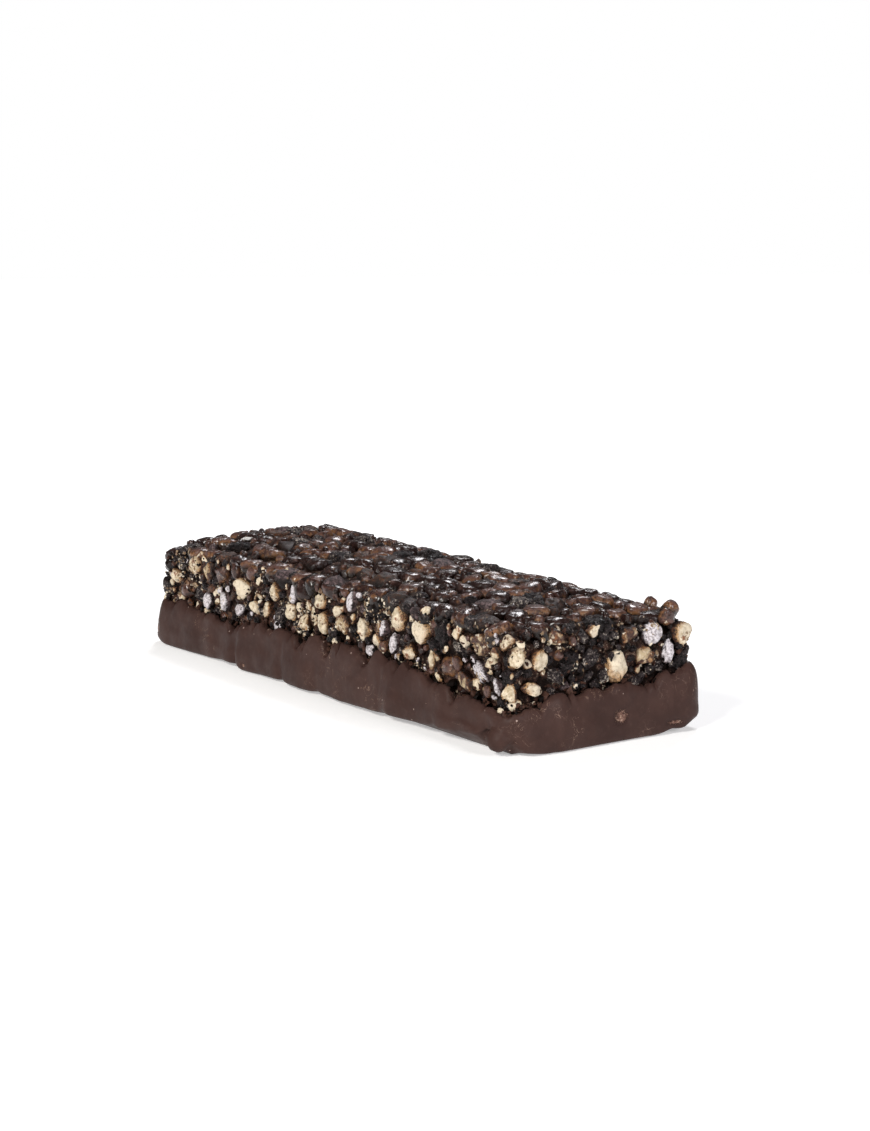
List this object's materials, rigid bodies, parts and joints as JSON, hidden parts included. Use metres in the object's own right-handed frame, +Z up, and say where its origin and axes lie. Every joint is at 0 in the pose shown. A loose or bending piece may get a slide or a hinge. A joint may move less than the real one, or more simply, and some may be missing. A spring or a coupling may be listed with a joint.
{
  "type": "protein bar",
  "caption": "Oblong snack bar of pressed puffed grains, its lower part dipped in dark chocolate with an uneven upper edge.",
  "frame": {"origin": "centre of the base, on the surface that the bar lies on", "axes": "+X along the bar's length, +Y across it, +Z up"},
  "size_m": [0.1112, 0.0379, 0.0207],
  "materials": {
    "chocolate": "satin dark chocolate with a faint bloom",
    "cereal": "puffed grains in a glossy dark syrup, some cut open to a pale porous inside"
  },
  "bodies": {
    "root": {"chocolate_coat": "chocolate", "cereal_layer": "cereal"}
  },
  "joints": []
}
